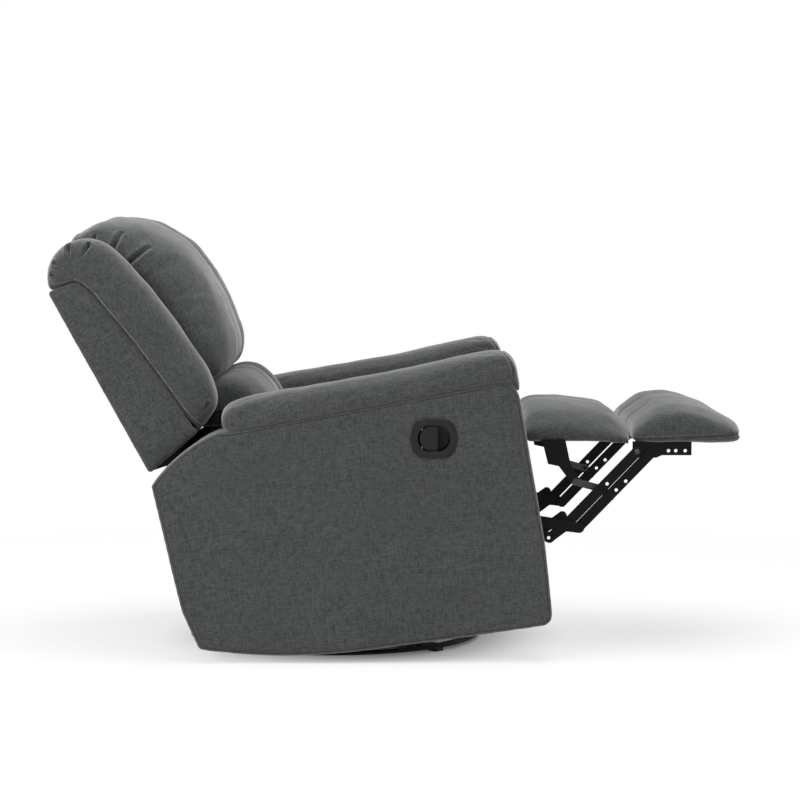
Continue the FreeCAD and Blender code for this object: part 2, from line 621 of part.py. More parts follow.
def oval(long, high, x_from, x_to):
    """A flat-topped oval with round ends, about the handle's centre."""
    front, up = HANDLE_AT
    flat = (long - high) / 2 + 8
    half_long, half_high = long / 2, high / 2
    points = [(front - flat, up + half_high), (front + flat, up + half_high),
              ((front + half_long, up), (front + flat, up - half_high)), (front - flat, up - half_high),
              ((front - half_long, up), (front - flat, up + half_high))]
    return slab(points, x_from, x_to)


def handle():
    """The release: an oval cup let into the right arm box, with a sprung flap that the fingers pull."""
    face = -(ARM_OUTER + BEZEL_RIM)
    front, up = HANDLE_AT
    rim = oval(BEZEL_LONG, BEZEL_HIGH, face, -ARM_OUTER)
    cup = block(front - CUP_HALF_LONG + 0.3, front + CUP_HALF_LONG - 0.3, up - CUP_HALF_HIGH + 0.3,
                up + CUP_HALF_HIGH - 0.3, -ARM_OUTER, -ARM_OUTER + CUP_DEPTH)
    room = oval(OPENING_LONG, OPENING_HIGH, face, -ARM_OUTER + CUP_DEPTH - CUP_WALL)
    rear = front - OPENING_LONG / 2
    pin_at = (rear + 9.5, -ARM_OUTER + 2.0 + FLAP_THICK / 2)
    bezel = rim.fuse(cup).cut(room).removeSplitter()
    pin_low, pin_high = up - OPENING_HIGH / 2 - 1.0, up + OPENING_HIGH / 2 + 1.0
    pin = Part.makeCylinder(FLAP_PIN, pin_high - pin_low, Vector(pin_at[1], -pin_at[0], pin_low))
    keep("handle_bezel", bezel.cut(pin))
    keep("handle_pin", pin)
    back_face = -ARM_OUTER + 2 + FLAP_THICK
    flap = oval(OPENING_LONG - 2 * FLAP_GAP, OPENING_HIGH - 2 * FLAP_GAP, -ARM_OUTER + 2, back_face)
    heel = flap.copy()
    heel.translate(place(FLAP_HEEL, 0))
    flap = flap.common(heel).common(block(rear, rear + FLAP_LONG, 0, 1000, -ARM_OUTER, -ARM_OUTER + 20))
    bore = Part.makeCylinder(FLAP_PIN + RUN_GAP, 200, Vector(pin_at[1], -pin_at[0], up - 100))
    keep("handle_flap", flap.cut(bore))


def main():
    os.makedirs("parts", exist_ok=True)
    deck = base()
    stand(deck)
    glide_links()
    tubes = cradle()
    side_plates(tubes)
    footrest_links()
    flipper()
    footrest_pads()
    arm_boxes()
    arm_pads()
    seat()
    back()
    handle()
    for name, shape in NODES.items():
        if not shape.isValid():
            print("not valid:", name)
        shape.exportStep("parts/%s.step" % name)
    print(len(NODES), "nodes")


main()
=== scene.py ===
"""Swivel glider recliner in dark grey linen-look cloth, rocked back with its footrest out.
Metres, +Z up. The chair faces -Y, and the sitter's right hand, with the release handle, is at -X.
"""
import math
import bpy
import bmesh
import numpy as np
from mathutils import Matrix, Vector, noise
from mathutils.bvhtree import BVHTree
from mathutils.kdtree import KDTree


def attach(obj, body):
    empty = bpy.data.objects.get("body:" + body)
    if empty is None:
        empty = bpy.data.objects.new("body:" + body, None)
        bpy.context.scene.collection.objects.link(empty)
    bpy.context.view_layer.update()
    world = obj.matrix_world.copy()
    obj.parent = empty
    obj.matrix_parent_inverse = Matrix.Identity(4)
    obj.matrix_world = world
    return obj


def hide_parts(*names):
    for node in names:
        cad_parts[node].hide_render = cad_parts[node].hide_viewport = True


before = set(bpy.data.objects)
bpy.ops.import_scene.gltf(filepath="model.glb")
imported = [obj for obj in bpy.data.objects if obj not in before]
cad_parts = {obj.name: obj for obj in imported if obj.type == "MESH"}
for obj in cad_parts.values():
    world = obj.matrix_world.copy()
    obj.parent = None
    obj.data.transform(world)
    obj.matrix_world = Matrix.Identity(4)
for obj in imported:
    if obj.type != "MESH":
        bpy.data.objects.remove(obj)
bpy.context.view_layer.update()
scene = bpy.context.scene
scene.view_settings.view_transform = "Standard"


# The photographer's side of it: a long lens level with the arm, square on to the sitter's right.
# Pale floor that runs out into white, a broad lamp overhead and a soft one behind the chair.
camera = bpy.data.objects.new("camera", bpy.data.cameras.new("camera"))
scene.collection.objects.link(camera)
scene.camera = camera
camera.data.lens = 112.5
camera.data.clip_end = 80.0
camera.location = (-5.765, -0.092, 0.956)
look_down = math.radians(4.07)
look_left = math.radians(0.572)
camera.rotation_euler = Vector((math.cos(look_down) * math.cos(look_left),
                                -math.cos(look_down) * math.sin(look_left),
                                -math.sin(look_down))).to_track_quat("-Z", "Y").to_euler()


def fill_sockets(tree, made, inputs):
    """Sets a node's inputs to plain values, or joins them to other sockets."""
    for key, value in inputs.items():
        if isinstance(value, bpy.types.NodeSocket):
            tree.links.new(value, made.inputs[key])
        else:
            made.inputs[key].default_value = value


def node(tree, kind, inputs=None, **settings):
    """One shader node, with its settings and inputs."""
    made = tree.nodes.new("ShaderNode" + kind)
    for key, value in settings.items():
        setattr(made, key, value)
    fill_sockets(tree, made, inputs or {})
    return made


def sum_of(tree, operation, *values):
    """One step of arithmetic on values."""
    return node(tree, "Math", dict(enumerate(values)), operation=operation).outputs[0]


def ranged(tree, value, low, high, new_low=0.0, new_high=1.0, kind="LINEAR"):
    """A value taken from one range to another, and held at its ends."""
    inputs = {0: value, 1: low, 2: high, 3: new_low, 4: new_high}
    return node(tree, "MapRange", inputs, interpolation_type=kind).outputs[0]


def blend_of(tree, share, first, second):
    """A colour part of the way from one to another."""
    return node(tree, "Mix", {0: share, 6: first, 7: second}, data_type="RGBA").outputs[2]


def seen_directly(tree):
    """1 for rays that should meet the white studio: from the lens, off gloss, and through glass."""
    path = node(tree, "LightPath")
    either = sum_of(tree, "MAXIMUM", path.outputs["Is Camera Ray"], path.outputs["Is Glossy Ray"])
    return sum_of(tree, "MAXIMUM", either, path.outputs["Is Transmission Ray"])


studio = bpy.data.worlds.new("studio")
scene.world = studio
studio.use_nodes = True
tree = studio.node_tree
tree.nodes.clear()
room_light = 0.47
glow = ranged(tree, seen_directly(tree), 0.0, 1.0, room_light, 1.0)
white = node(tree, "Background", {"Color": (1, 1, 1, 1), "Strength": glow})
node(tree, "OutputWorld", {0: white.outputs[0]})

lamps = (("overhead", (-0.3, -0.1, 3.4), 3.2, 118.0), ("behind", (-2.6, 3.0, 2.4), 2.6, 60.0))
for name, place, size, power in lamps:
    lamp = bpy.data.lights.new(name, "AREA")
    lamp.size = size
    lamp.energy = power
    lamp_at = bpy.data.objects.new(name, lamp)
    scene.collection.objects.link(lamp_at)
    lamp_at.location = place
    lamp_at.rotation_euler = (Vector((0, 0, 0.45)) - Vector(place)).to_track_quat("-Z", "Y").to_euler()

floor_paper = bpy.data.materials.new("floor_paper")
floor_paper.use_nodes = True
tree = floor_paper.node_tree
tree.nodes.clear()
place = node(tree, "TexCoord").outputs["Object"]
away = node(tree, "VectorMath", {0: place, 1: (0, -0.06, 0)}, operation="DISTANCE").outputs["Value"]
soft_shadow = ranged(tree, away, 0.2, 0.5, 0.0, 0.7, "SMOOTHSTEP")
to_white = ranged(tree, away, 0.75, 2.4, 0.0, 1.0, "SMOOTHSTEP")
fading = sum_of(tree, "MAXIMUM", soft_shadow, to_white)
fading = sum_of(tree, "MULTIPLY", fading, seen_directly(tree))
paper = node(tree, "BsdfDiffuse", {"Color": (0.93, 0.93, 0.925, 1)})
lit = node(tree, "Emission", {"Color": (1, 1, 1, 1), "Strength": 1.0})
mixed = node(tree, "MixShader", {0: fading, 1: paper.outputs[0], 2: lit.outputs[0]})
node(tree, "OutputMaterial", {0: mixed.outputs[0]})


def mesh_object(name, bm, smooth=True):
    """A finished bmesh as an object at the origin."""
    mesh = bpy.data.meshes.new(name)
    bm.to_mesh(mesh)
    bm.free()
    if smooth:
        mesh.shade_smooth()
    made = bpy.data.objects.new(name, mesh)
    scene.collection.objects.link(made)
    return made


bm = bmesh.new()
bmesh.ops.create_grid(bm, x_segments=8, y_segments=8, size=30.0)
floor = mesh_object("floor", bm)
floor.data.materials.append(floor_paper)


# Base: the steel ring and cross on its floor pads, with the hub, ball race and nut.
# Powder-coated black, rubbed a little paler on its high spots, with plastic pads pressed on.
def group_of(name, sockets_in, sockets_out):
    """An empty shader group with its sockets, and its two end nodes."""
    made = bpy.data.node_groups.new(name, "ShaderNodeTree")
    for label, kind in sockets_in:
        made.interface.new_socket(label, in_out="INPUT", socket_type="NodeSocket" + kind)
    for label, kind in sockets_out:
        made.interface.new_socket(label, in_out="OUTPUT", socket_type="NodeSocket" + kind)
    return made, made.nodes.new("NodeGroupInput").outputs, made.nodes.new("NodeGroupOutput").inputs


def placed_group(tree, group, inputs):
    """A shader group set into a material, with its inputs filled."""
    made = tree.nodes.new("ShaderNodeGroup")
    made.node_tree = group
    fill_sockets(tree, made, inputs)
    return made.outputs


finish_wear, given, result = group_of(
    "finish_wear", [("Place", "Vector"), ("Colour", "Color"), ("Rubbed", "Color"), ("Grain", "Float")],
    [("Colour", "Color"), ("Roughness", "Float"), ("Height", "Float")])
cloud = node(finish_wear, "TexNoise", {"Vector": given["Place"], "Scale": 34.0, "Detail": 5.0}).outputs[0]
grain = {"Vector": given["Place"], "Scale": given["Grain"], "Detail": 2.0}
speck = node(finish_wear, "TexNoise", grain).outputs[0]
share = ranged(finish_wear, cloud, 0.42, 0.78, 0.0, 0.55)
worn = blend_of(finish_wear, share, given["Colour"], given["Rubbed"])
finish_wear.links.new(worn, result["Colour"])
finish_wear.links.new(ranged(finish_wear, cloud, 0.3, 0.7, -0.09, 0.09), result["Roughness"])
grain_height = 0.00012
finish_wear.links.new(sum_of(finish_wear, "MULTIPLY", speck, grain_height), result["Height"])


def hard_finish(name, colour, rubbed, roughness, metal=0.0, grain=900.0, gloss=0.5):
    """Paint, plating, plastic or wood: a worn colour, a rough value that varies, and a fine grain."""
    made = bpy.data.materials.new(name)
    made.use_nodes = True
    tree = made.node_tree
    shader = tree.nodes["Principled BSDF"]
    shader.inputs["Metallic"].default_value = metal
    shader.inputs["Specular IOR Level"].default_value = gloss
    worn = placed_group(tree, finish_wear, {"Place": node(tree, "TexCoord").outputs["Object"],
                                            "Colour": colour + (1,), "Rubbed": rubbed + (1,), "Grain": grain})
    tree.links.new(worn["Colour"], shader.inputs["Base Color"])
    tree.links.new(sum_of(tree, "ADD", worn["Roughness"], roughness), shader.inputs["Roughness"])
    bump = node(tree, "Bump", {"Height": worn["Height"], "Distance": 1.0})
    tree.links.new(bump.outputs[0], shader.inputs["Normal"])
    return made


def finish_nodes(material, *names):
    """A CAD node keeps its shape and takes a real finish."""
    for name in names:
        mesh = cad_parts[name].data
        mesh.materials.clear()
        mesh.materials.append(material)


black_paint = hard_finish("black_paint", (0.002, 0.002, 0.0022), (0.006, 0.006, 0.0063), 0.46, gloss=0.14)
zinc = hard_finish("zinc_plate", (0.30, 0.31, 0.32), (0.44, 0.45, 0.46), 0.36, 0.9, 1600.0)
moulded = hard_finish("black_plastic", (0.0045, 0.0045, 0.005), (0.012, 0.012, 0.0125), 0.44,
                      grain=1400.0, gloss=0.3)
finish_nodes(black_paint, "base_ring", "swivel_deck", "swivel_hub")
finish_nodes(moulded, "floor_glides")
finish_nodes(zinc, "swivel_bearing")


# Glider: two uprights on the turning deck, four swinging links, and the cradle that hangs on them.
# Black painted strip steel, with its pins riveted over and painted with it.
finish_nodes(black_paint, "glide_uprights", "cradle_rails", "cross_tube_front", "cross_tube_rear",
             "glide_links_front", "glide_links_rear")


# Side plates and the lazy-tong links that carry the footrest, one set each side.
# Black painted steel, dull zinc on the links of the inner pad and on the domed heads of the bracket's rivets.
finish_nodes(black_paint, "mechanism_plate_left", "mechanism_plate_right", "drive_links", "front_bars",
             "rear_bars", "control_links", "footrest_brackets", "flipper_brackets")
dull_zinc = hard_finish("dull_zinc", (0.05, 0.05, 0.053), (0.10, 0.10, 0.105), 0.4, 0.85, 1600.0)
finish_nodes(dull_zinc, "flipper_links")
finish_nodes(black_paint, "hinge_leaf_inner", "hinge_leaf_outer")


def rivet_heads(name, body, places, radius=0.0062, rise=0.0014):
    """Domed heads on the ends of riveted pins, each at a place and facing one way along the pin."""
    bm = bmesh.new()
    for place, facing in places:
        arc = [Vector((facing * rise * math.cos(turn), radius * math.sin(turn), 0))
               for turn in [math.radians(18 * step) for step in range(6)]]
        dome = [bm.verts.new(Vector(place) + point) for point in arc]
        rim = [bm.edges.new(pair) for pair in zip(dome, dome[1:])]
        bmesh.ops.spin(bm, geom=dome + rim, cent=place, axis=(1, 0, 0), angle=2 * math.pi, steps=20,
                       use_merge=True)
    bmesh.ops.remove_doubles(bm, verts=bm.verts, dist=1e-6)
    bmesh.ops.holes_fill(bm, edges=bm.edges, sides=30)
    bmesh.ops.recalc_face_normals(bm, faces=bm.faces)
    made = mesh_object(name, bm)
    made.data.materials.append(dull_zinc)
    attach(made, body)


bracket_pins = ((0.672, 0.449, 0.2578, 1), (0.672, 0.449, 0.2443, -1), (0.702, 0.444, 0.2443, -1))
rivet_heads("bracket_rivets", "footrest",
            [((sign * across, -front, up), sign * facing)
             for sign in (-1, 1) for front, up, across, facing in bracket_pins])


# Arm boxes: a wooden frame inside a padded cloth tray, closed on the seat side by a covered board.
# The cloth is a slubby two-tone linen weave, cut as flat panels and sewn at the edges.
def rocked(front, up, across):
    """A place drawn with the chair level, in millimetres, as it stands in the photographed pose."""
    back_tilt = math.radians(9.5)
    return Vector((across, -(front * math.cos(back_tilt) - up * math.sin(back_tilt)),
                   front * math.sin(back_tilt) + up * math.cos(back_tilt))) / 1000.0


linen_weave, given, result = group_of(
    "linen_weave", [("Place", "Vector"), ("Seam", "Float"), ("Dark", "Color"), ("Pale", "Color")],
    [("Colour", "Color"), ("Height", "Float")])
streaks = []
for stretch in ((1, 0.15, 1), (1, 1, 0.15), (0.15, 1, 1)):
    drawn = node(linen_weave, "VectorMath", {0: given["Place"], 1: stretch}, operation="MULTIPLY").outputs[0]
    streaks.append(node(linen_weave, "TexNoise", {"Vector": drawn, "Scale": 410.0, "Detail": 3.0}).outputs[0])
slub = sum_of(linen_weave, "ADD", sum_of(linen_weave, "ADD", streaks[0], streaks[1]), streaks[2])
slub = ranged(linen_weave, slub, 1.27, 1.73)
cloudy = node(linen_weave, "TexNoise", {"Vector": given["Place"], "Scale": 7.0, "Detail": 3.0}).outputs[0]
cloudy = ranged(linen_weave, cloudy, 0.3, 0.7, 0.95, 1.05)
two_tone = blend_of(linen_weave, slub, given["Dark"], given["Pale"])
# Near a sewn line or pleat the cloth's colour is darkened down to 0.42 of itself: painted shade in the
# groove.
near_seam = sum_of(linen_weave, "ABSOLUTE", given["Seam"])
seam_reach = 0.0022
groove = ranged(linen_weave, near_seam, 0.0, seam_reach, 0.0, 1.0, "SMOOTHSTEP")
shade = ranged(linen_weave, groove, 0.0, 1.0, 0.42, 1.0)
shade = sum_of(linen_weave, "MULTIPLY", shade, cloudy)
shaded = node(linen_weave, "VectorMath", {0: two_tone, "Scale": shade}, operation="SCALE").outputs[0]
linen_weave.links.new(shaded, result["Colour"])
thread_pitch = 0.0013
threads = []
for axis in range(3):
    part = node(linen_weave, "SeparateXYZ", {0: given["Place"]}).outputs[axis]
    turns = sum_of(linen_weave, "MULTIPLY", part, 2 * math.pi / thread_pitch)
    threads.append(sum_of(linen_weave, "SINE", turns))
woven = sum_of(linen_weave, "ADD", sum_of(linen_weave, "ADD", threads[0], threads[1]), threads[2])
thread_height, slub_height, groove_depth = 0.00002, 0.0003, 0.0008
relief = sum_of(linen_weave, "ADD", sum_of(linen_weave, "MULTIPLY", woven, thread_height),
                sum_of(linen_weave, "MULTIPLY", slub, slub_height))
relief = sum_of(linen_weave, "ADD", relief, sum_of(linen_weave, "MULTIPLY", groove, groove_depth))
linen_weave.links.new(relief, result["Height"])


def linen(name, tilt):
    """The cloth with its threads turned to lie square on a piece that leans back by a tilt."""
    made = bpy.data.materials.new(name)
    made.use_nodes = True
    tree = made.node_tree
    shader = tree.nodes["Principled BSDF"]
    shader.inputs["Roughness"].default_value = 0.92
    shader.inputs["Specular IOR Level"].default_value = 0.25
    shader.inputs["Sheen Weight"].default_value = 0.62
    shader.inputs["Sheen Roughness"].default_value = 0.45
    square = node(tree, "Mapping", {"Vector": node(tree, "TexCoord").outputs["Object"],
                                    "Rotation": (math.radians(tilt), 0, 0)})
    cloth = placed_group(tree, linen_weave, {
        "Place": square.outputs[0], "Seam": node(tree, "Attribute", attribute_name="seam").outputs["Fac"],
        "Dark": (0.031, 0.0345, 0.0335, 1), "Pale": (0.073, 0.079, 0.077, 1)})
    tree.links.new(cloth["Colour"], shader.inputs["Base Color"])
    bump = node(tree, "Bump", {"Height": cloth["Height"], "Distance": 1.0})
    tree.links.new(bump.outputs[0], shader.inputs["Normal"])
    return made


seat_linen = linen("linen_seat", 9.5)
back_linen = linen("linen_back", 28.9)


def pattern_of(name):
    """The CAD solid's shape to cut a soft piece from: merged, with its flat faces made whole."""
    bm = bmesh.new()
    bm.from_mesh(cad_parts[name].data)
    bmesh.ops.remove_doubles(bm, verts=bm.verts, dist=1e-5)
    bmesh.ops.dissolve_limit(bm, angle_limit=math.radians(1), verts=bm.verts, edges=bm.edges)
    return bm


def bake_in(made):
    """Makes an object's modifiers part of its mesh."""
    view = bpy.context.evaluated_depsgraph_get()
    view.update()
    done = bpy.data.meshes.new_from_object(made.evaluated_get(view))
    made.modifiers.clear()
    made.data = done
    made.data.shade_smooth()


def covered(name, bm, steps, grow=0.001):
    """An even closed mesh over a pattern, with its edges eased as cloth over foam eases them."""
    made = mesh_object(name, bm)
    for cell, rounds in steps:
        remesh = made.modifiers.new("even", "REMESH")
        remesh.mode = "VOXEL"
        remesh.voxel_size = cell
        bake_in(made)
        bm = bmesh.new()
        bm.from_mesh(made.data)
        for _ in range(rounds):
            bmesh.ops.smooth_vert(bm, verts=bm.verts, factor=0.5, use_axis_x=True, use_axis_y=True,
                                  use_axis_z=True)
        bmesh.ops.recalc_face_normals(bm, faces=bm.faces)
        bm.to_mesh(made.data)
        bm.free()
    places, facing = points_of(made)
    set_points(made, places + facing * grow)
    return made


def points_of(made):
    """The places of a piece's vertices, and which way the surface faces at each."""
    count = len(made.data.vertices)
    places, facing = np.empty(count * 3, np.float32), np.empty(count * 3, np.float32)
    made.data.vertices.foreach_get("co", places)
    made.data.vertices.foreach_get("normal", facing)
    return places.reshape(-1, 3), facing.reshape(-1, 3)


def set_points(made, places):
    """Moves a piece's vertices to new places."""
    made.data.vertices.foreach_set("co", places.astype(np.float32).ravel())
    made.data.update()


def finer(made):
    """One subdivision, baked in."""
    divide = made.modifiers.new("finer", "SUBSURF")
    divide.levels = divide.render_levels = 1
    bake_in(made)


def laid_on(made, line, step=0.003):
    """The points of a line, closely spaced and laid on the piece's surface."""
    points = [Vector(point) for point in line]
    surface = BVHTree.FromPolygons([v.co for v in made.data.vertices],
                                   [p.vertices for p in made.data.polygons])
    laid = []
    for start, end in zip(points, points[1:]):
        count = max(1, round((end - start).length / step))
        laid += [surface.find_nearest(start.lerp(end, i / count))[0] for i in range(count)]
    return laid + [surface.find_nearest(points[-1])[0]]


def beside(made, lines, reach):
    """For each vertex near a line: its distance, its share along, and how far it lies to one side."""
    places, facing = points_of(made)
    tree = KDTree(len(places))
    for index, place in enumerate(places):
        tree.insert(place, index)
    tree.balance()
    near = {}
    for line in lines:
        laid = laid_on(made, line)
        for count, point in enumerate(laid):
            run = (laid[min(count + 1, len(laid) - 1)] - laid[max(count - 1, 0)]).normalized()
            for place, index, off in tree.find_range(point, reach):
                if off < near.get(index, (reach,))[0]:
                    across = (place - point).dot(Vector(facing[index]).cross(run))
                    near[index] = (off, count / max(1, len(laid) - 1), across)
    return near


def press(made, lines, depth, width, lip=0.0, fades=False):
    """Presses sewn lines into a piece, with the filling raised beside them. A pleat fades along its line."""
    places, facing = points_of(made)
    for index, (off, along, across) in beside(made, lines, 3.5 * width).items():
        share = (1 - along) ** 0.4 if fades else 1.0
        sunk = lip * math.exp(-((off - 2 * width) / width) ** 2) - depth * math.exp(-(off / width) ** 2)
        places[index] += facing[index] * (sunk * share)
    set_points(made, places)


def store_seams(made, distances):
    """Stores how far each vertex lies to one side or the other of the nearest sewn line."""
    stored = made.data.attributes.new("seam", "FLOAT", "POINT")
    stored.data.foreach_set("value", np.asarray(distances, np.float32))


def line_distances(made, lines):
    """How far each vertex lies to one side of its sewn line, or 1 where no line is near."""
    distances = np.full(len(made.data.vertices), 1.0)
    for index, (off, along, across) in beside(made, lines, 0.012).items():
        distances[index] = across
    return distances


def seamless(made):
    """A piece of cloth with no sewn line on it."""
    store_seams(made, np.full(len(made.data.vertices), 1.0))


def slack(made, amount, size, seed):
    """The slight unevenness of cloth over wadding."""
    places, facing = points_of(made)
    shift = Vector((seed, 0.3 * seed, seed))
    lifts = np.array([noise.noise(Vector(place) / size + shift) for place in places])
    set_points(made, places + facing * (amount * lifts)[:, None])


def upholstered(made, material, body, *nodes, fill=None):
    """Cloth on, tied to its body, and standing for its CAD solids."""
    made.data.materials.clear()
    made.data.materials.append(material)
    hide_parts(*nodes)
    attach(made, body)


def rim_distances(places, rim):
    """How far each place is from the nearest edge of an outline, seen from the chair's side."""
    best = np.full(len(places), 1.0)
    for start, end in rim:
        run = end - start
        share = np.clip(((places[:, 1:] - start) @ run) / max(1e-12, run @ run), 0, 1)
        best = np.minimum(best, np.linalg.norm(places[:, 1:] - start - share[:, None] * run, axis=1))
    return best


arm_outer = 0.390
panel_seam = 0.0068
cup_place = Matrix.Translation((-arm_outer, -0.219, 0.490)) @ Matrix.Diagonal((0.1, 0.084, 0.069, 1))
for side, sign in (("right", -1), ("left", 1)):
    bm = pattern_of("arm_board_" + side)
    inner_face = min(abs(v.co.x) for v in bm.verts)
    for vertex in bm.verts:
        if abs(vertex.co.x) > inner_face + 0.005:
            vertex.co.x = sign * arm_outer
    bmesh.ops.recalc_face_normals(bm, faces=bm.faces)
    rim = [[np.array(v.co.yz) for v in e.verts] for e in bm.edges
           if all(abs(v.co.x) > arm_outer - 1e-4 for v in e.verts)]
    panels = mesh_object("arm_panels", bm)
    if side == "right":
        bm = bmesh.new()
        bmesh.ops.create_cube(bm, size=1.0, matrix=cup_place)
        pocket = mesh_object("pocket", bm)
        cut = panels.modifiers.new("pocket", "BOOLEAN")
        cut.operation = "DIFFERENCE"
        cut.object = pocket
        bake_in(panels)
        bpy.data.objects.remove(pocket)
    bm = bmesh.new()
    bm.from_mesh(panels.data)
    bpy.data.objects.remove(panels)
    box = covered("arm_box_" + side, bm, ((0.0055, 3),))
    # The sewn line just inside each side panel's edge is stored for the cloth, which paints shade along it.
    places, facing = points_of(box)
    inside = rim_distances(places, rim)
    sides = np.abs(places[:, 0]) > arm_outer - 0.012
    store_seams(box, np.where(sides, inside - panel_seam, 0.05))
    slack(box, 0.0014, 0.12, 3.0 + sign)
    upholstered(box, seat_linen, "seat", "arm_cover_" + side, "arm_board_" + side)

plain_wood = hard_finish("frame_wood", (0.42, 0.27, 0.14), (0.52, 0.36, 0.2), 0.62, grain=260.0)
finish_nodes(plain_wood, "arm_frame_left", "arm_frame_right", "seat_rail_rear", "back_frame")


# Seat: elastic straps sewn from rail to rail, and a channelled cushion of foam and fibre on them.
# Three channels run from back to front, and the front edge is rounded over a firm roll.
elastic = hard_finish("elastic_web", (0.03, 0.03, 0.031), (0.06, 0.06, 0.062), 0.8, grain=700.0)


def round_off(bm, edges, width, segments):
    """Rounds off some edges of a pattern."""
    bmesh.ops.bevel(bm, geom=edges, offset=width, segments=segments, profile=0.5, affect="EDGES", material=-1)


def straps(name, node_name, body):
    """Flat elastic straps with soft edges."""
    bm = pattern_of(node_name)
    round_off(bm, list(bm.edges), 0.0005, 2)
    made = mesh_object(name, bm, smooth=False)
    made.data.materials.append(elastic)
    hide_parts(node_name)
    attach(made, body)


def swelled(made, tied, cap, ease):
    """Swells a piece as its filling does: cloth under pressure, tied down where it is sewn or rests."""
    places, facing = points_of(made)
    rest = places - facing * ease * (~tied)[:, None]
    set_points(made, rest)
    made.vertex_groups.new(name="tied").add(np.flatnonzero(tied).tolist(), 1.0, "REPLACE")
    filling = made.modifiers.new("filling", "CLOTH")
    filling.settings.use_pressure = True
    filling.settings.uniform_pressure_force = 4.0
    filling.settings.effector_weights.gravity = 0.0
    filling.settings.vertex_group_mass = "tied"
    filling.settings.quality = 4
    filling.settings.tension_stiffness = 18.0
    filling.settings.compression_stiffness = 18.0
    filling.settings.bending_stiffness = 0.6
    last_moment = 20
    for moment in range(1, last_moment + 1):
        scene.frame_set(moment)
    bake_in(made)
    scene.frame_set(1)
    moved = points_of(made)[0] - rest
    far = np.linalg.norm(moved, axis=1, keepdims=True)
    set_points(made, rest + moved * (cap * np.tanh(far / cap) / np.maximum(far, 1e-9)))


def near_lines(made, lines, reach):
    """True for the vertices near a sewn line."""
    tied = np.zeros(len(made.data.vertices), bool)
    tied[list(beside(made, lines, reach))] = True
    return tied


def sewn_cushion(name, node_names, body, cloth, lines, ties, cap, steps=((0.006, 3),), grow=0.001, ease=0.005,
                 fill=0.7, pleats=(), sunk=0.004, valley=0.007, shape=None, side_limit=None, room=None):
    """A cushion cut from its CAD solid, sewn along its lines, swelled between them, and pleated.

    A broad valley is pressed in before it swells, and the stitched groove after it. Ties says where the
    cloth rests on something, and cap is how far it may swell.
    """
    held, stitch_depth, stitch_width, stitch_lip = 0.0045, 0.0024, 0.0032, 0.0008
    pleat_lip, pleat_reach, pleat_fade = 0.35, 0.009, 0.002
    bm = pattern_of(node_names[0])
    if shape:
        shape(bm)
    made = covered(name, bm, steps, grow)
    places, facing = points_of(made)
    tied = ties(places, facing)
    press(made, lines, sunk, valley)
    tied = tied | near_lines(made, lines, held)
    swelled(made, tied, cap, ease)
    if side_limit is not None:
        places, facing = points_of(made)
        places[:, 0] = np.clip(places[:, 0], -side_limit, side_limit)
        set_points(made, places)
    finer(made)
    press(made, lines, stitch_depth, stitch_width, stitch_lip)
    for pleat, depth, width in pleats:
        press(made, [pleat], depth, width, depth * pleat_lip, fades=True)
    slack(made, 0.0014, 0.05, len(name))
    if room:
        set_points(made, room(points_of(made)[0]))
    # The sewn lines and the pleats go to the cloth as distances, and it paints shade along them; a pleat's
    # painted shade fades along its length.
    distances = line_distances(made, lines)
    for index, (off, along, across) in beside(made, [pleat[0] for pleat in pleats], pleat_reach).items():
        distances[index] = math.copysign(abs(across) + pleat_fade * along, across)
    store_seams(made, distances)
    upholstered(made, cloth, body, *node_names, fill=fill)


def both(points):
    """The same line on the sitter's right and left."""
    return [[(sign * abs(x), y, z) for x, y, z in points] for sign in (-1, 1)]


straps("seat_straps", "seat_webbing", "seat")
seat_top = ((-8, 472), (0, 488), (30, 500), (140, 510), (260, 517), (370, 514), (440, 500), (456, 482),
            (458, 465))
channel_across = 86
seat_lines = both([rocked(front, up, channel_across) for front, up in seat_top])
sewn_cushion("seat_cushion_sewn", ["seat_cushion"], "seat", seat_linen, seat_lines,
             lambda at, facing: facing[:, 2] < -0.5, 0.016, ((0.011, 4), (0.006, 2)), 0.003,
             side_limit=0.2655, sunk=0.009, valley=0.016)


# Arm rests: a padded cap along the top of each box that rolls down over its front.
# One strip of cloth over foam, with a sewn end panel at the front.
end_panel = ((486, 536, 392), (491, 570, 392), (480, 598, 384), (476, 607, 360), (476, 607, 300),
             (480, 598, 275), (491, 570, 267), (486, 536, 267))
for side, sign in (("right", -1), ("left", 1)):
    end_seam = [tuple(rocked(front, up, sign * across)) for front, up, across in end_panel]
    sewn_cushion("arm_rest_" + side, ["arm_pad_" + side], "seat", seat_linen, [end_seam],
                 lambda at, facing: facing[:, 2] < -0.45, 0.005, ((0.009, 3), (0.0055, 3)), 0.003, 0.002,
                 fill=0.8, sunk=0.0012)


# Rear closing panel and front seat rail: wooden boards wrapped tight in the seat cloth and tacked
# between the arm boxes, one across the back of the seat box and one under the cushion's front edge.
def wrapped_board(name, node_name):
    """A board in tight cloth, its edges softened by the cloth's turn."""
    bm = pattern_of(node_name)
    round_off(bm, list(bm.edges), 0.003, 3)
    board = mesh_object(name, bm)
    seamless(board)
    upholstered(board, seat_linen, "seat", node_name)


wrapped_board("rear_board", "rear_panel")
wrapped_board("front_board", "seat_rail_front")


# Back: a wooden frame in a cloth outside back, with a padded wing down each side of it. The wings are
# gathered into pleats where they turn over the top corner, two of them deep. A black lining turns under
# the back's foot, on an arc about the recline pivot, so that no light shows over the arm boxes.
def leaned(ahead, along, across):
    """A place on the back, in millimetres: forward from its rear face, and up along it."""
    lean = math.radians(19.4)
    front = -327.0 + ahead * math.cos(lean) - along * math.sin(lean)
    up = 470.0 + ahead * math.sin(lean) + along * math.cos(lean)
    return rocked(front, up, across)


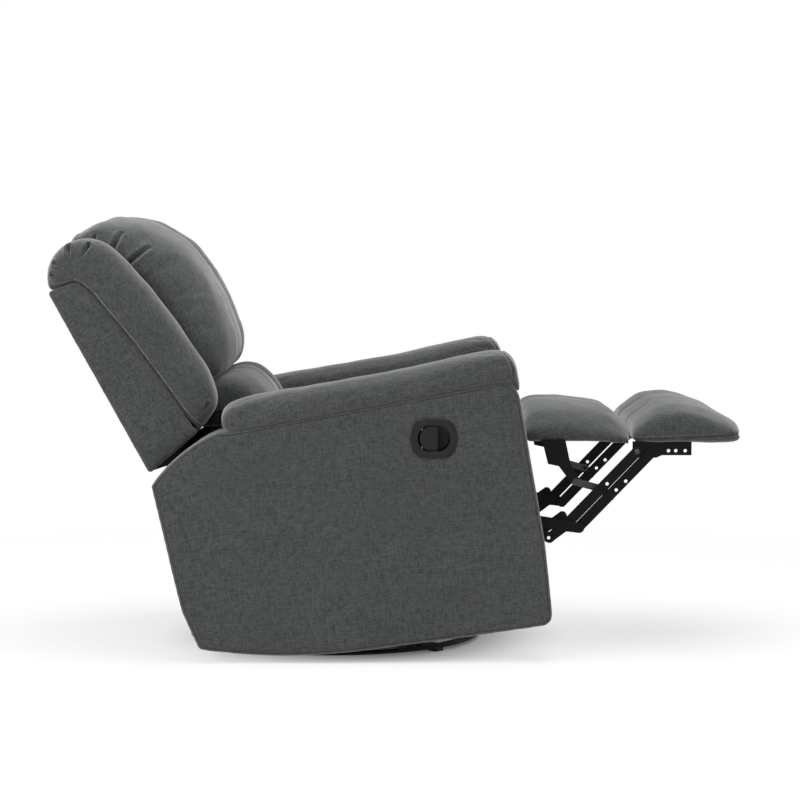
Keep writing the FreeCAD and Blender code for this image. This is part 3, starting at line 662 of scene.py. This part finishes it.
black_lining = hard_finish("black_lining", (0.006, 0.006, 0.0065), (0.010, 0.010, 0.0105), 0.9,
                           grain=500.0, gloss=0.1)
recline_pivot = (-86.5, 215.3)
lip_radius = 331.1
lip_side = -331
lip = [leaned(126, 29, lip_side), leaned(2, 3, lip_side)]
for turn in (135.0, 132.5, 130.0, 127.0, 124.0, 121.0, 118.0, 115.0, 112.0):
    front = recline_pivot[0] + lip_radius * math.cos(math.radians(turn))
    lip.append(rocked(front, recline_pivot[1] + lip_radius * math.sin(math.radians(turn)), lip_side))
bm = bmesh.new()
side_face = bmesh.ops.contextual_create(bm, geom=[bm.verts.new(point) for point in lip])["faces"]
pushed = bmesh.ops.extrude_face_region(bm, geom=side_face)["geom"]
bmesh.ops.translate(bm, vec=(0.662, 0, 0), verts=[v for v in pushed if isinstance(v, bmesh.types.BMVert)])
bmesh.ops.recalc_face_normals(bm, faces=bm.faces)
round_off(bm, list(bm.edges), 0.0015, 2)
under_back = mesh_object("back_underside", bm)
under_back.data.materials.append(black_lining)
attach(under_back, "back")

straps("back_straps", "back_webbing", "back")
finish_nodes(black_paint, "back_brackets")
bm = pattern_of("back_cover")
outside_back = covered("outside_back", bm, ((0.006, 3),), 0.0015)
slack(outside_back, 0.0014, 0.12, 8.0)
seamless(outside_back)
upholstered(outside_back, back_linen, "back", "back_cover")

wing_side = 338
wing_seam = ((63, 441), (78, 412), (94, 333), (112, 227), (127, 107), (134, 28))


def round_wing(bm):
    """The wing's front is a fat roll, and its rear edge is turned in to the seam."""
    lines = [leaned(ahead, along, 0) for ahead, along in ((2, 451.4),) + wing_seam]
    roll = []
    outside = max(abs(v.co.x) for v in bm.verts)
    for edge in bm.edges:
        ends = [v.co for v in edge.verts]
        if not all(abs(abs(co.x) - outside) < 1e-4 for co in ends):
            continue
        middle = (ends[0] + ends[1]) / 2
        off = min(math.hypot(*((middle - point.lerp(after, t)).yz)) for point, after in zip(lines, lines[1:])
                  for t in [step / 10 for step in range(11)])
        if off > 0.006:
            roll.append(edge)
    round_off(bm, roll, 0.030, 5)


def pleats_on(sign, pleats):
    """Pleats drawn on the sitter's left, put on one side."""
    return [([(sign * x, y, z) for x, y, z in line], depth, width) for line, depth, width in pleats]


wing_pleats = (
    ([(0.335, 0.5745, 0.9075), (0.336, 0.5715, 0.890), (0.337, 0.5686, 0.8793)], 0.0125, 0.0040),
    ([(0.335, 0.5279, 0.9063), (0.336, 0.535, 0.893), (0.337, 0.539, 0.8825)], 0.0115, 0.0040),
    ([(0.335, 0.6066, 0.8685), (0.336, 0.5883, 0.862)], 0.006, 0.0034),
    ([(0.335, 0.6101, 0.8436), (0.336, 0.5929, 0.836)], 0.006, 0.0034),
    ([(0.336, 0.2739, 0.5609), (0.336, 0.2827, 0.5435)], 0.006, 0.0034))
for side, sign in (("right", -1), ("left", 1)):
    seam = [tuple(leaned(ahead + 1, along, sign * wing_side)) for ahead, along in ((3, 452),) + wing_seam]
    sewn_cushion("wing_" + side, ["back_wing_" + side], "back", back_linen, [seam],
                 lambda at, facing: facing[:, 0] * sign < -0.5, 0.006, ((0.008, 3), (0.0055, 3)), 0.0035,
                 0.001, fill=0.6, pleats=pleats_on(sign, wing_pleats), shape=round_wing, sunk=0.004)


# Head and lumbar cushions: three upright channels of loose fibre in sewn cloth, held to the back's frame.
# The head cushion is pleated into its top corners, and the lumbar one tucks in under it.
head_front = ((255, 108), (262, 110), (292, 136), (307, 168), (321, 260), (318, 350), (304, 410), (257, 482),
              (190, 528), (84, 530))
ahead_step = leaned(1, 0, 0) - leaned(0, 0, 0)
along_step = leaned(0, 1, 0) - leaned(0, 0, 0)


def fuller_top(bm):
    """The head cushion stands a little higher at its top and less far forward than its solid."""
    foot = leaned(0, 0, 0)
    for vertex in bm.verts:
        up = (vertex.co - foot).dot(along_step) * 1e6
        ahead = (vertex.co - foot).dot(ahead_step) * 1e6
        higher = along_step * 5 * max(0.0, (up - 330) / 200)
        vertex.co += higher - ahead_step * 7 * max(0.0, (ahead - 200) / 120)


head_lines = both([leaned(ahead, along, channel_across) for ahead, along in head_front])
head_pleats = (
    ([(0.25, 0.5283, 0.9209), (0.25, 0.5282, 0.9341)], 0.009, 0.004),
    ([(0.255, 0.4856, 0.8915), (0.256, 0.474, 0.918), (0.245, 0.4628, 0.9429)], 0.013, 0.0048),
    ([(0.258, 0.4517, 0.8624), (0.256, 0.426, 0.886), (0.245, 0.4001, 0.9049)], 0.012, 0.0048))
sewn_cushion("head_cushion_sewn", ["head_cushion"], "back", back_linen, head_lines,
             lambda at, facing: facing[:, 1] > 0.6, 0.010, ((0.014, 5), (0.006, 3)), 0.006, 0.003, fill=0.85,
             pleats=pleats_on(-1, head_pleats) + pleats_on(1, head_pleats), sunk=0.006, valley=0.016,
             shape=fuller_top, side_limit=0.2655)
lumbar_front = ((288, -94), (292, -90), (308, -60), (314, 0), (313, 32), (306, 62), (292, 88), (262, 107))
lumbar_lines = both([leaned(ahead, along, 83) for ahead, along in lumbar_front])
sewn_cushion("lumbar_cushion_sewn", ["lumbar_cushion"], "back", back_linen, lumbar_lines,
             lambda at, facing: facing[:, 1] > 0.6, 0.010, ((0.012, 4), (0.006, 3)), 0.004, 0.003, fill=0.8,
             sunk=0.012, valley=0.018, side_limit=0.2605)


# Footrest: two upholstered boards with a piano hinge between them, each channelled in three.
# The cloth wraps down round the board's edge, with a seam low on the side of the outer pad.
def reshaped(stations, bottom, drop, half):
    """Moves a pad's cross lines and their tops to where the photographed pad has them.

    A station is a line's place on the solid and on the finished pad, in millimetres to the front, and the
    share of its height that it keeps. The sides drop, and the bottom lies flat on the board.
    """
    def shape(bm):
        """The pad's pattern, with each line moved by its nearest station."""
        lowest = min(v.co.z for v in bm.verts)
        for vertex in bm.verts:
            _, new, share = min(stations, key=lambda station: abs(station[0] / 1000 + vertex.co.y))
            vertex.co.y = -new / 1000
            if vertex.co.z < lowest + 0.002:
                vertex.co.z = bottom
                continue
            out = max(0.0, (abs(vertex.co.x) - 0.5 * half) / (0.5 * half))
            vertex.co.z = bottom + (vertex.co.z - bottom) * share - drop * out * out
    return shape


outer_stations = ((669, 664, 0.56), (682, 681, 0.66), (722, 720, 0.90), (770, 768, 1.0), (815, 815, 0.98),
                  (850, 854, 0.93), (878, 884, 0.95), (892, 904, 1.15))
inner_stations = ((426, 424, 1.0), (434, 434, 1.0), (452, 452, 1.02), (520, 520, 1.0), (620, 618, 0.90),
                  (654, 663, 0.48))
pad_top = ((663, 490), (666, 508), (682, 526), (722, 556), (770, 560), (815, 550), (854, 536), (884, 518),
           (904, 498))
pad_lines = both([(0.086, -front / 1000, up / 1000) for front, up in pad_top])
low_side = [(0.247, -0.668, 0.4765), (0.259, -0.700, 0.4775), (0.259, -0.784, 0.4812),
            (0.258, -0.875, 0.4850), (0.250, -0.904, 0.4860)]
low_seam = [(-x, y, z) for x, y, z in low_side] + [(0, -0.906, 0.4865)] + low_side[::-1]
sewn_cushion("footrest_outer", ["footrest_pad", "footrest_board"], "footrest", seat_linen,
             pad_lines + [low_seam], lambda at, facing: facing[:, 2] < -0.5, 0.007, ((0.009, 3), (0.005, 2)),
             0.0035, 0.001, fill=0.8, shape=reshaped(outer_stations, 0.4712, 0.010, 0.258), sunk=0.0025)
flap_top = ((424, 500), (425, 520), (434, 542), (452, 552), (520, 551), (618, 537), (660, 502), (664, 485))
flap_lines = both([(0.078, -front / 1000, up / 1000) for front, up in flap_top])


def hinge_room(places):
    """Cuts the pad's lower edge back where the hinge's knuckles and outer leaf turn under it."""
    over_knuckles, past_leaf, clear_edge = 0.4825, 0.098, -0.6525
    low = (places[:, 2] < over_knuckles) & (np.abs(places[:, 0]) < past_leaf)
    places[low, 1] = np.maximum(places[low, 1], clear_edge)
    return places


sewn_cushion("footrest_inner", ["flipper_pad", "flipper_board"], "flipper", seat_linen, flap_lines,
             lambda at, facing: facing[:, 2] < -0.5, 0.007, ((0.009, 3), (0.005, 2)), 0.0035, 0.001,
             fill=0.75, shape=reshaped(inner_stations, 0.4722, 0.032, 0.234), sunk=0.0025, room=hinge_room)


# Release handle: a moulded oval cup pressed into the right arm box, with a sprung flap to pull.
# Fine-grained black plastic with softened edges, and a steel pin.
def moulding(name, node_name, body, edge):
    """A moulded copy of a CAD piece, with its sharp edges softened."""
    bm = pattern_of(node_name)
    sharp = [e for e in bm.edges if e.is_manifold and e.calc_face_angle(0) > math.radians(50)]
    round_off(bm, sharp, edge, 3)
    made = mesh_object(name, bm)
    made.data.materials.append(moulded)
    made.data.set_sharp_from_angle(angle=math.radians(30))
    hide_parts(node_name)
    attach(made, body)


moulding("handle_cup", "handle_bezel", "seat", 0.0011)
moulding("handle_paddle", "handle_flap", "handle", 0.0012)
finish_nodes(zinc, "handle_pin")
